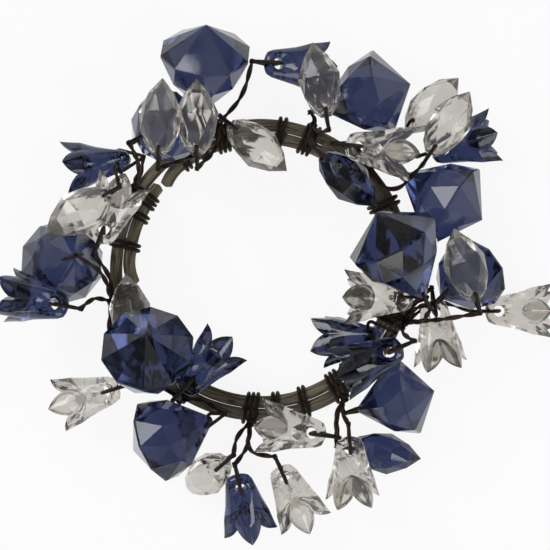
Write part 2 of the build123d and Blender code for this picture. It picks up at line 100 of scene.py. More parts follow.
class Cut(Enum):
    """Cuts of bead: half width and depth of the wire loop round the neck, in millimetres."""

    LARGE_GEM = (4.698, 7.898)
    MIDDLE_GEM = (4.513, 7.713)
    SMALL_GEM = (4.176, 7.376)
    BUD = (6.072, 8.100)
    BELL = (6.0661, 10.570)


# ---------------------------------------------------------------- meshes from arrays


def unit(vectors: np.ndarray) -> np.ndarray:
    """Vectors along the last axis, divided by their lengths."""
    return vectors / np.maximum(np.linalg.norm(vectors, axis=-1, keepdims=True), 1e-12)


def joined(*columns: np.ndarray) -> np.ndarray:
    """Columns spread over each other's shapes and joined along a new last axis."""
    return np.stack(np.broadcast_arrays(*columns), axis=-1)


def heading_pitch(heading: float, pitch: float) -> np.ndarray:
    """Unit vector (cos p cos h, cos p sin h, sin p) at heading h and pitch p in degrees."""
    turn, rise = math.radians(heading), math.radians(pitch)
    return np.array([math.cos(rise) * math.cos(turn), math.cos(rise) * math.sin(turn), math.sin(rise)])


def travelled_lengths(points: np.ndarray) -> np.ndarray:
    """Length travelled along a polyline up to each of its points."""
    return np.concatenate([[0.0], np.cumsum(np.linalg.norm(np.diff(points, axis=0), axis=1))])


def resample(points: np.ndarray, step: float) -> np.ndarray:
    """Points evenly spaced along a polyline.

    Each new point lies at an equal share of the added up run lengths, found by linear steps.

    Args:
        points: Polyline, one row per point.
        step: Wanted distance between points.

    Returns:
        The new points, ends included.
    """
    travelled = travelled_lengths(points)
    count = max(int(travelled[-1] / step), 4)
    places = np.linspace(0.0, travelled[-1], count + 1)
    return np.stack([np.interp(places, travelled, points[:, axis]) for axis in range(3)], axis=1)


def rounded_route(points: np.ndarray, share: float, step: float, limit: float = math.inf) -> np.ndarray:
    """Route of straight runs with each corner rounded by a circular arc.

    An arc takes the same length of both runs at its corner: a share of the shorter one, and no more
    than the limit. With w the cosine of half the turn, before and after its two ends, its point is
    ((1-t)^2 before + 2 w t (1-t) corner + t^2 after) / ((1-t)^2 + 2 w t (1-t) + t^2).

    Args:
        points: Corners of the route.
        share: Share of the shorter run that a rounding takes on each side.
        step: Distance between the points that come back.
        limit: Most that a rounding takes of a run, in millimetres.

    Returns:
        Evenly spaced points along the rounded route.
    """
    runs = np.diff(points, axis=0)
    lengths = np.linalg.norm(runs, axis=1)
    along = unit(runs)
    trim = np.minimum(share * np.minimum(lengths[:-1], lengths[1:]), limit)[:, None]
    before = points[1:-1] - along[:-1] * trim
    after = points[1:-1] + along[1:] * trim
    turn = (along[:-1] * along[1:]).sum(axis=1)
    weight = np.sqrt(np.clip((1 + turn) / 2, 0.0, 1.0))[:, None, None]
    t = np.linspace(0.0, 1.0, ARC_POINTS)[None, :, None]
    first, middle, last = (1 - t) ** 2, 2 * weight * t * (1 - t), t ** 2
    rounds = first * before[:, None] + middle * points[1:-1, None] + last * after[:, None]
    rounds = rounds / (first + middle + last)
    whole = np.concatenate([points[:1], rounds.reshape(-1, 3), points[-1:]])
    return resample(whole, step)


def swept_rings(path: np.ndarray, across: np.ndarray, radii: np.ndarray, sides: int) -> np.ndarray:
    """Rings of points round a path.

    With N the part of the reference square to the path and B = T x N, a ring's point at angle a
    is path + r (cos a N + sin a B).

    Args:
        path: Centre points, one row each.
        across: Reference vector for each point or one for all, never along the path.
        radii: Radius for each point, or for each point and side.
        sides: Points in a ring.

    Returns:
        Array of shape (points, sides, 3).
    """
    tangents = unit(np.gradient(path, axis=0))
    reference = np.broadcast_to(across, path.shape)
    normal = unit(reference - (reference * tangents).sum(axis=1, keepdims=True) * tangents)
    binormal = np.cross(tangents, normal)
    angles = full_turn(sides)
    cosines, sines = np.cos(angles)[None, :, None], np.sin(angles)[None, :, None]
    spread = cosines * normal[:, None] + sines * binormal[:, None]
    reach = radii if radii.ndim == 2 else radii[:, None]
    return path[:, None] + reach[:, :, None] * spread


def ring_quads(rows: int, sides: int) -> np.ndarray:
    """Quads between neighbouring rings of a grid that is numbered ring by ring.

    Args:
        rows: Number of rings.
        sides: Points in a ring.

    Returns:
        Four point numbers for each quad.
    """
    index = np.arange(rows * sides).reshape(rows, sides)
    after = np.roll(index, -1, axis=1)
    return np.stack([index[:-1], after[:-1], after[1:], index[1:]], axis=-1).reshape(-1, 4)


def full_turn(sides: int) -> np.ndarray:
    """Angles of equal steps round a full turn, in radians, from zero."""
    return np.arange(sides) * (2 * np.pi / sides)


def place_object(name: str, data: bpy.types.ID) -> bpy.types.Object:
    """Put an object at the origin, in the scene's own collection.

    Args:
        name: Name of the object.
        data: Its mesh, lamp or camera.

    Returns:
        The new object.
    """
    piece = bpy.data.objects.new(name, data)
    bpy.context.scene.collection.objects.link(piece)
    return piece


def mesh_from(name: str, points: np.ndarray, faces: list) -> bpy.types.Mesh:
    """Make a mesh in metres from points in millimetres.

    Args:
        name: Name of the mesh.
        points: Points, three numbers each.
        faces: Lists of point numbers.

    Returns:
        The new mesh.
    """
    mesh = bpy.data.meshes.new(name)
    mesh.from_pydata((points.reshape(-1, 3) * MM).tolist(), [], faces)
    return mesh


def shaped(piece: bpy.types.Object, kind: str, **settings: object) -> None:
    """Put a modifier on a piece.

    Args:
        piece: The piece.
        kind: Type of the modifier, such as WELD.
        **settings: Properties of the modifier.
    """
    modifier = piece.modifiers.new(kind.lower(), kind)
    for key, value in settings.items():
        setattr(modifier, key, value)


def round_edges(piece: bpy.types.Object, width: float, angle: float) -> None:
    """Round the edges that turn by more than an angle in degrees, by a width in millimetres."""
    limit = math.radians(angle)
    shaped(piece, "BEVEL", width=width * MM, segments=2, limit_method="ANGLE", angle_limit=limit)


def baked(piece: bpy.types.Object) -> bpy.types.Mesh:
    """New mesh of a piece with its modifiers applied."""
    depsgraph = bpy.context.evaluated_depsgraph_get()
    return bpy.data.meshes.new_from_object(piece.evaluated_get(depsgraph))


def rounded_ends(path: np.ndarray, radius: float) -> np.ndarray:
    """Shares of a tube's radius that make its ends half balls.

    At a distance d from the nearer end the share is sqrt(1 - (1 - d/r)^2), with d/r held within 0.02
    and 1.

    Args:
        path: Centre points.
        radius: Radius r of the tube.

    Returns:
        A share for each point.
    """
    travelled = travelled_lengths(path)
    nearest = np.minimum(travelled, travelled[-1] - travelled)
    return np.sqrt(1 - (1 - np.clip(nearest / radius, 0.02, 1.0)) ** 2)


def tube_object(name: str, strands: Sequence[np.ndarray]) -> bpy.types.Object:
    """One object from several closed tubes.

    Rings are joined by quads, and each end by a fan to the middle of its ring. The UV map holds
    the angle round the tube in u and the distance along it, in centimetres, in v.

    Args:
        name: Name of the object.
        strands: Ring arrays of shape (points, sides, 3).

    Returns:
        The new object at the origin.
    """
    points, faces, uvs, base = [], [], [], 0
    for rings in strands:
        rows, sides, _ = rings.shape
        ring, top = base + np.arange(sides), (rows - 1) * sides
        after = np.roll(ring, -1)
        first = np.stack([np.full(sides, base + rows * sides), after, ring], axis=-1)
        last = np.stack([np.full(sides, base + rows * sides + 1), ring + top, after + top], axis=-1)
        points += [rings.reshape(-1, 3), rings[0].mean(axis=0)[None], rings[-1].mean(axis=0)[None]]
        faces += (base + ring_quads(rows, sides)).tolist() + first.tolist() + last.tolist()
        along = travelled_lengths(rings.mean(axis=1)) / 10
        turns = (np.arange(sides)[:, None] + [0, 1, 1, 0]) / sides
        spans = along[np.arange(rows - 1)[:, None] + [0, 0, 1, 1]][:, None]
        uvs.append(joined(turns, spans).reshape(-1, 2))
        uvs += [joined(turns[:, [0, 1, 0]], end).reshape(-1, 2) for end in (along[0], along[-1])]
        base += rows * sides + 2
    mesh = mesh_from(name, np.concatenate(points), faces)
    layer = mesh.uv_layers.new(name="along")
    layer.data.foreach_set("uv", np.concatenate(uvs).astype(np.float32).ravel())
    mesh.polygons.foreach_set("use_smooth", np.ones(len(mesh.polygons), dtype=bool))
    mesh.update()
    return place_object(name, mesh)


def dress_piece(piece: bpy.types.Object, slot: Slot, materials: dict, body: str, node: str) -> None:
    """Give a piece its finish and body, and hide the CAD node that it stands for.

    Args:
        piece: The piece.
        slot: Its slot of the record.
        materials: Materials by slot.
        body: Body that it rides on.
        node: CAD node that it stands for.
    """
    piece.data.materials.clear()
    piece.data.materials.append(materials[slot])
    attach(piece, body)
    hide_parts(node)
    log.info("%s rides on %s, %d faces", piece.name, body, len(piece.data.polygons))


# ---------------------------------------------------------------- finishes


Socket = bpy.types.NodeSocket


def blank_material(name: str) -> bpy.types.Material:
    """Make a material whose node tree is empty.

    Args:
        name: Name of the material.

    Returns:
        The new material.
    """
    material = bpy.data.materials.new(name)
    material.use_nodes = True
    material.node_tree.nodes.clear()
    return material


class Nodes:
    """Short ways to make and join shader nodes in one tree."""

    def __init__(self, tree: bpy.types.NodeTree) -> None:
        """Work in a node tree."""
        self.tree = tree

    def new(self, kind: str, values: Optional[dict] = None, **settings: object) -> bpy.types.Node:
        """Make a node.

        Args:
            kind: Node type, such as ShaderNodeTexNoise.
            values: Input names and the values or sockets that they get.
            **settings: Properties of the node.

        Returns:
            The new node.
        """
        node = self.tree.nodes.new(kind)
        for key, value in settings.items():
            setattr(node, key, value)
        for key, value in (values or {}).items():
            if isinstance(value, Socket):
                self.tree.links.new(value, node.inputs[key])
            else:
                node.inputs[key].default_value = value
        return node

    def ramp(self, factor: Socket, stops: Sequence[tuple]) -> Socket:
        """Colour ramp.

        Args:
            factor: Socket that drives the ramp.
            stops: Pairs of a place and a colour.

        Returns:
            The ramp's colour socket.
        """
        node = self.new("ShaderNodeValToRGB", {"Fac": factor})
        elements = node.color_ramp.elements
        while len(elements) < len(stops):
            elements.new(0.5)
        for element, (place, colour) in zip(elements, stops):
            element.position = place
            element.color = (*colour, 1.0)
        return node.outputs["Color"]

    def noise(self, place: Socket, scale: float, detail: float, roughness: float = 0.5) -> Socket:
        """Value of a noise texture at a place."""
        values = {"Vector": place, "Scale": scale, "Detail": detail, "Roughness": roughness}
        return self.new("ShaderNodeTexNoise", values).outputs["Fac"]

    def math(self, operation: str, first: object, second: object) -> Socket:
        """Result of an operation on two values or sockets."""
        return self.new("ShaderNodeMath", {0: first, 1: second}, operation=operation).outputs[0]

    def remap(self, value: Socket, source: tuple, target: tuple) -> Socket:
        """Move a value from one span to another, and hold it there.

        Args:
            value: Socket of the value.
            source: Ends of the span that it comes from.
            target: Ends of the span that it goes to.

        Returns:
            Socket of the moved value.
        """
        names = ("From Min", "From Max", "To Min", "To Max")
        values = dict(zip(names, (*source, *target)))
        return self.new("ShaderNodeMapRange", {"Value": value, **values}).outputs[0]

    def mix(self, factor: Socket, first: Socket, second: tuple, blend: str = "MIX") -> Socket:
        """Colour on the way from a socket's colour to its blend with a fixed colour."""
        values = {"Factor": factor, "A": first, "B": (*second, 1.0)}
        return self.new("ShaderNodeMix", values, data_type="RGBA", blend_type=blend).outputs[2]

    def effect(self, name: str, values: dict) -> bpy.types.NodeOutputs:
        """Outputs of a shared effect for values of its inputs."""
        return self.new("ShaderNodeGroup", values, node_tree=bpy.data.node_groups[name]).outputs

    def bump(self, height: Socket, strength: float, distance: float) -> Socket:
        """Normal of a relief, whose full height is the distance in metres."""
        values = {"Height": height, "Strength": strength, "Distance": distance}
        return self.new("ShaderNodeBump", values).outputs["Normal"]


def make_effect(name: str, inputs: dict, outputs: Sequence[str], fill: Callable) -> None:
    """Make a shader node group that reads a place and puts out numbers.

    Args:
        name: Name of the group.
        inputs: Names of further inputs, all numbers, and their default values.
        outputs: Names of the outputs.
        fill: Function that gets a Nodes helper and the sockets of the group's inputs, and returns a
            dict of output names and sockets.
    """
    group = bpy.data.node_groups.new(name, "ShaderNodeTree")
    group.interface.new_socket("Coordinates", in_out="INPUT", socket_type="NodeSocketVector")
    for label, value in inputs.items():
        socket = group.interface.new_socket(label, in_out="INPUT", socket_type="NodeSocketFloat")
        socket.default_value = value
    for label in outputs:
        group.interface.new_socket(label, in_out="OUTPUT", socket_type="NodeSocketFloat")
    nodes = Nodes(group)
    entry = nodes.new("NodeGroupInput").outputs
    nodes.new("NodeGroupOutput", fill(nodes, entry))


def scuff_effect(nodes: Nodes, entry: bpy.types.NodeOutputs) -> dict:
    """Handling marks: patches of soft noise, and fine scratches from stretched noise.

    Args:
        nodes: Helper of the group's tree.
        entry: Sockets of the group's inputs.

    Returns:
        Roughness and relief by name.
    """
    patches = nodes.noise(entry["Coordinates"], 160.0, 3.0)
    stretched = nodes.new("ShaderNodeMapping", {"Vector": entry["Coordinates"], "Scale": (1.0, 9.0, 3.0)})
    scratches = nodes.noise(stretched.outputs[0], 420.0, 2.0)
    rough = nodes.remap(patches, (0.35, 0.75), (entry["Smooth"], entry["Rough"]))
    return {"Roughness": rough, "Height": nodes.math("MULTIPLY", scratches, patches)}


def grain_effect(nodes: Nodes, entry: bpy.types.NodeOutputs) -> dict:
    """Bark: long fibres from noise drawn out along the rod, thin cracks, and worn patches.

    Args:
        nodes: Helper of the group's tree.
        entry: Sockets of the group's inputs.

    Returns:
        Fibres, cracks, worn patches and relief by name.
    """
    mapped = nodes.new("ShaderNodeMapping", {"Vector": entry["Coordinates"], "Scale": (1.0, 0.045, 1.0)})
    drawn = mapped.outputs[0]
    fibres = nodes.noise(drawn, 22.0, 5.0, 0.6)
    slits = nodes.new("ShaderNodeTexVoronoi", {"Vector": drawn, "Scale": 6.0}, feature="DISTANCE_TO_EDGE")
    cracks = nodes.remap(slits.outputs["Distance"], (0.0, 0.06), (1.0, 0.0))
    worn = nodes.noise(entry["Coordinates"], 1.1, 3.0)
    height = nodes.math("SUBTRACT", fibres, cracks)
    return {"Fibres": fibres, "Cracks": cracks, "Worn": worn, "Height": height}


def wrap_effect(nodes: Nodes, entry: bpy.types.NodeOutputs) -> dict:
    """Paper wrap: slanting bands round the wire, creases from fine noise, and rubbed patches.

    Args:
        nodes: Helper of the group's tree.
        entry: Sockets of the group's inputs.

    Returns:
        Bands, patches and relief by name.
    """
    slanted = nodes.new("ShaderNodeMapping", {"Vector": entry["Coordinates"], "Rotation": (0.0, 0.0, 0.5)})
    bands = nodes.new(
        "ShaderNodeTexWave",
        {"Vector": slanted.outputs[0], "Scale": 1.6, "Distortion": 2.4, "Detail": 2.0, "Detail Scale": 2.0},
        bands_direction="Y",
    ).outputs["Fac"]
    creases = nodes.noise(entry["Coordinates"], 9.0, 4.0)
    patches = nodes.noise(entry["Coordinates"], 0.9, 2.0)
    return {"Bands": bands, "Patches": patches, "Height": nodes.math("ADD", bands, creases)}


def make_effects() -> None:
    """Make each of the shared effects once, as a node group that the finishes find by name."""
    make_effect("scuffs", {"Smooth": 0.02, "Rough": 0.08}, ("Roughness", "Height"), scuff_effect)
    make_effect("grain", {}, ("Fibres", "Cracks", "Worn", "Height"), grain_effect)
    make_effect("wrap", {}, ("Bands", "Patches", "Height"), wrap_effect)


@dataclass(frozen=True)
class Finish:
    """A finish: the name of its material, and the values of its Principled shader."""

    name: str

    def values(self, nodes: Nodes) -> dict:
        """Values of the shader's inputs, which each kind of finish gives.

        Args:
            nodes: Helper of the material's tree.

        Returns:
            Values or sockets by the input's name.
        """
        raise NotImplementedError

    def material(self) -> bpy.types.Material:
        """Make the material with its Principled shader.

        Returns:
            The new material.
        """
        material = blank_material(self.name)
        nodes = Nodes(material.node_tree)
        shader = nodes.new("ShaderNodeBsdfPrincipled", self.values(nodes))
        nodes.new("ShaderNodeOutputMaterial", {"Surface": shader.outputs["BSDF"]})
        return material


@dataclass(frozen=True)
class AcrylicFinish(Finish):
    """Polished acrylic, tinted through and through."""

    tint: tuple
    cloud: tuple
    ripple: float = 0.08
    smooth: float = 0.015
    rough: float = 0.06
    through: float = 1.0

    def values(self, nodes: Nodes) -> dict:
        """A tint that drifts slowly, and scuffs that ripple and roughen the skin.

        Args:
            nodes: Helper of the material's tree.

        Returns:
            Values or sockets by the input's name.
        """
        place = nodes.new("ShaderNodeTexCoord").outputs["Object"]
        marks = {"Coordinates": place, "Smooth": self.smooth, "Rough": self.rough}
        scuffs = nodes.effect("scuffs", marks)
        return {
            "Base Color": nodes.ramp(nodes.noise(place, 55.0, 1.0), [(0.35, self.tint), (0.75, self.cloud)]),
            "Roughness": scuffs["Roughness"],
            "Normal": nodes.bump(scuffs["Height"], self.ripple, 0.0006),
            "IOR": 1.49,
            "Metallic": 0.0,
            "Transmission Weight": self.through,
        }


@dataclass(frozen=True)
class BarkFinish(Finish):
    """Dry vine bark, grey-brown with lengthwise fibres and dark cracks."""

    pale: tuple
    middle: tuple
    dark: tuple

    def values(self, nodes: Nodes) -> dict:
        """Fibres from dark to pale, tinted by the pale tone where worn, and dark in the cracks.

        Args:
            nodes: Helper of the material's tree.

        Returns:
            Values or sockets by the input's name.
        """
        place = nodes.new("ShaderNodeUVMap", uv_map="along").outputs["UV"]
        grain = nodes.effect("grain", {"Coordinates": place})
        bark = nodes.ramp(grain["Fibres"], [(0.3, self.dark), (0.5, self.middle), (0.72, self.pale)])
        faded = nodes.mix(grain["Worn"], bark, self.pale, "MULTIPLY")
        return {
            "Base Color": nodes.mix(grain["Cracks"], faded, self.dark),
            "Roughness": 0.78,
            "Normal": nodes.bump(grain["Height"], 0.8, 0.0007),
        }


@dataclass(frozen=True)
class PaperFinish(Finish):
    """Dark paper wound round wire, rubbed reddish in places."""

    dark: tuple
    middle: tuple
    rubbed: tuple

    def values(self, nodes: Nodes) -> dict:
        """Slanting bands in two dark tones, with rubbed patches in the third.

        Args:
            nodes: Helper of the material's tree.

        Returns:
            Values or sockets by the input's name.
        """
        place = nodes.new("ShaderNodeUVMap", uv_map="along").outputs["UV"]
        wrap = nodes.effect("wrap", {"Coordinates": place})
        paper = nodes.ramp(wrap["Bands"], [(0.2, self.dark), (0.8, self.middle)])
        rub = nodes.remap(wrap["Patches"], (0.44, 0.66), (0.0, 0.85))
        return {
            "Base Color": nodes.mix(rub, paper, self.rubbed),
            "Roughness": 0.55,
            "Normal": nodes.bump(wrap["Height"], 0.5, 0.0002),
            "Specular IOR Level": 0.25,
        }


# ---------------------------------------------------------------- beads and their wires


@dataclass(frozen=True)
class BeadPlace:
    """Where a bead's wire hole is, how the bead lies, and where its wire comes from."""

    knot: Knot
    name: str
    cut: Cut
    hole: tuple
    heading: float
    pitch: float
    roll: float
    bend: tuple

    def axis(self) -> np.ndarray:
        """Direction from the wire hole to the bead's far end."""
        return heading_pitch(self.heading, self.pitch)

    def hole_axis(self) -> np.ndarray:
        """Direction of the wire hole: up turned about the bead's axis by the roll."""
        level, roll = heading_pitch(self.heading + 90.0, 0.0), math.radians(self.roll)
        return math.cos(roll) * np.cross(self.axis(), level) + math.sin(roll) * level

    def foot(self) -> np.ndarray:
        """Point behind the neck where the wire's two legs meet."""
        return np.array(self.hole) - self.cut.value[1] * self.axis()


BEADS_BY_KNOT = {
    Knot.UPPER_LEFT: (
        ("blue_gem_02", Cut.SMALL_GEM, (-45.83, 50.19, 32.8), 33, -55, 0, (-46.3, 39.5, 23.2)),
        ("blue_tulip_02", Cut.BELL, (-57.15, 43.27, 8.56), 190, 5, 60, (-47.6, 38.1, 7.6)),
        ("clear_bud_07", Cut.BUD, (-59.95, 27.18, 35.87), 214, 20, 0, (-56.3, 41.4, 30.6)),
    ),
    Knot.TOP_LEFT: (
        ("blue_gem_01", Cut.LARGE_GEM, (-22.69, 66.14, 6.56), 86, 40, 0, (-19.6, 60.7, 4.6)),
        ("blue_tulip_01", Cut.BELL, (6.38, 80.61, 16.98), -3, -24, 0, (-7.0, 68.0, 14.5)),
        ("clear_bud_01", Cut.BUD, (-37.88, 45.97, 42.05), 87, 0, 0, (-23.8, 44.2, 24.9)),
        ("clear_bud_02", Cut.BUD, (-24.08, 46.71, 33.39), 90, 4, 0, (-16.7, 47.2, 20.2)),
        ("clear_bud_06", Cut.BUD, (-9.65, 55.11, 17.54), -39, -8, 0, (-15.0, 58.6, 13.2)),
    ),
    Knot.TOP_RIGHT: (
        ("blue_bud_01", Cut.BUD, (26.29, 42.51, 18.6), -43, 0, 0, (18.9, 52.7, 13.1)),
        ("blue_gem_06", Cut.MIDDLE_GEM, (26.61, 64.59, 9.71), 14, 14.84, 18, (21.6, 60.3, 7.7)),
        ("clear_bud_03", Cut.BUD, (24.92, 62.16, 24.51), 101, 6, 0, (22.7, 53.9, 15.7)),
    ),
    Knot.RIGHT: (
        ("blue_gem_07", Cut.MIDDLE_GEM, (58.32, 36.45, 9.71), -31, 14.84, 18, (46.6, 40.6, 7.7)),
        ("blue_tulip_03", Cut.BELL, (72.81, 48.11, 7.75), 15, 4, 0, (52.2, 47.0, 7.3)),
        ("clear_bud_04", Cut.BUD, (60.89, 58.07, 7.56), 46, -4, 20, (49.8, 46.4, 7.9)),
        ("clear_bud_05", Cut.BUD, (67.56, 47.88, 19.75), 57, -2, 0, (50.8, 27.9, 13.8)),
        ("clear_tulip_01", Cut.BELL, (37.91, 47.23, 27.34), -7, -14, 0, (36.0, 49.2, 18.8)),
    ),
    Knot.LOWER_EAST: (
        ("blue_gem_08", Cut.LARGE_GEM, (61.06, -8.46, 34.42), 120, 16, 0, (62.9, -20.5, 20.0)),
        ("blue_gem_09", Cut.SMALL_GEM, (71.37, -9.74, 23.9), 34, -40, 20, (60.1, -14.6, 18.2)),
        ("blue_tulip_07", Cut.BELL, (42.28, -25.41, 18.97), 187, -26, 90, (53.3, -20.8, 15.6)),
        ("blue_tulip_08", Cut.BELL, (49.17, -31.43, 30.97), 204, -8, 0, (55.0, -24.7, 20.0)),
        ("clear_bud_10", Cut.BUD, (81.48, -8.86, 32.26), 108, 4, 0, (70.6, -18.7, 34.2)),
        ("clear_tulip_07", Cut.BELL, (94.87, -16.35, 6.47), 1, 12, 0, (69.8, -11.8, 6.0)),
        ("clear_tulip_08", Cut.BELL, (68.54, -17.34, 14.23), -82, -8, 180, (60.3, -12.6, 11.7)),
        ("clear_tulip_09", Cut.BELL, (53.57, -10.51, 23.97), 180, -8, 0, (58.4, -14.2, 16.5)),
    ),
    Knot.LOWER_RIGHT: (
        ("blue_bud_02", Cut.BUD, (38.22, -71.21, 7.62), -9, -3, 10, (29.4, -60.1, 10.1)),
        ("blue_gem_10", Cut.SMALL_GEM, (40.15, -55.22, 8.52), 15.5, 14.94, 18, (31.7, -54.1, 7.1)),
        ("clear_tulip_05", Cut.BELL, (19.96, -63.31, 22.15), 172, -12, 0, (29.1, -57.3, 16.0)),
        ("clear_tulip_06", Cut.BELL, (34.84, -70.23, 19.38), -86, -12, 180, (31.6, -55.7, 14.6)),
    ),
    Knot.BOTTOM: (
        ("blue_tulip_06", Cut.BELL, (-8.07, -84.4, 18.5), -78, -30, 0, (-4.6, -69.0, 15.7)),
        ("clear_bud_09", Cut.BUD, (-15.14, -75.94, 17.4), 221, -42, 0, (-9.5, -65.2, 15.2)),
        ("clear_tulip_04", Cut.BELL, (9.52, -81.48, 16.98), -66, -24, 0, (-5.7, -71.9, 14.5)),
    ),
    Knot.LOWER_LEFT: (
        ("blue_gem_04", Cut.LARGE_GEM, (-42.77, -41.79, 19.12), 88, 60, 0, (-36.8, -47.3, 10.0)),
        ("blue_gem_05", Cut.MIDDLE_GEM, (-20.71, -58.49, 23.91), 203, -19, 30, (-22.4, -50.5, 17.0)),
        ("blue_tulip_05", Cut.BELL, (-27.23, -43.43, 18.03), 47, -24, 0, (-32.0, -49.6, 15.0)),
    ),
    Knot.LEFT: (
        ("blue_gem_03", Cut.MIDDLE_GEM, (-71.79, 4.86, 32.4), 195, -72, 0, (-60.5, -1.4, 23.7)),
        ("blue_tulip_04", Cut.BELL, (-78.55, -13.09, 30.51), 170, -14, 180, (-64.7, -10.6, 20.4)),
        ("clear_bud_08", Cut.BUD, (-49.94, -27.03, 17.54), 97, -8, 0, (-60.3, -26.7, 13.2)),
        ("clear_tulip_02", Cut.BELL, (-60.46, 15.38, 24.82), 68, -16, 0, (-58.6, -2.5, 17.7)),
        ("clear_tulip_03", Cut.BELL, (-60.24, -47.46, 16.43), 197, -22, 0, (-59.3, -29.7, 14.0)),
    ),
}
BEADS = sorted(
    (BeadPlace(knot, *row) for knot, rows in BEADS_BY_KNOT.items() for row in rows),
    key=lambda place: place.name,
)


@dataclass
class Bead:
    """One bead: its node's facets with every edge softened by a fine polish."""

    place: BeadPlace
    edge: float = 0.28
    weld_reach: float = 0.02
    flat_angle: float = 1.0
    edge_angle: float = 8.0

    def build(self) -> bpy.types.Object:
        """Copy the node's facets, join them into one skin, and round the edges.

        Returns:
            The new piece.
        """
        source = frame["nodes"][self.place.name]
        piece = place_object(self.place.name + "_polished", source.data.copy())
        shaped(piece, "WELD", merge_threshold=self.weld_reach * MM)
        shaped(piece, "DECIMATE", decimate_type="DISSOLVE", angle_limit=math.radians(self.flat_angle))
        round_edges(piece, self.edge, self.edge_angle)
        finished = baked(piece)
        piece.modifiers.clear()
        piece.data = finished
        return piece

    def dress(self, piece: bpy.types.Object, materials: dict) -> None:
        """Give the piece its finish and the body of its bead, and hide the bead's node.

        Args:
            piece: The piece.
            materials: Materials by slot.
        """
        name = self.place.name
        slot = Slot.BLUE if name.startswith("blue") else Slot.CLEAR
        dress_piece(piece, slot, materials, frame["nodes"][name]["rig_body"], name)


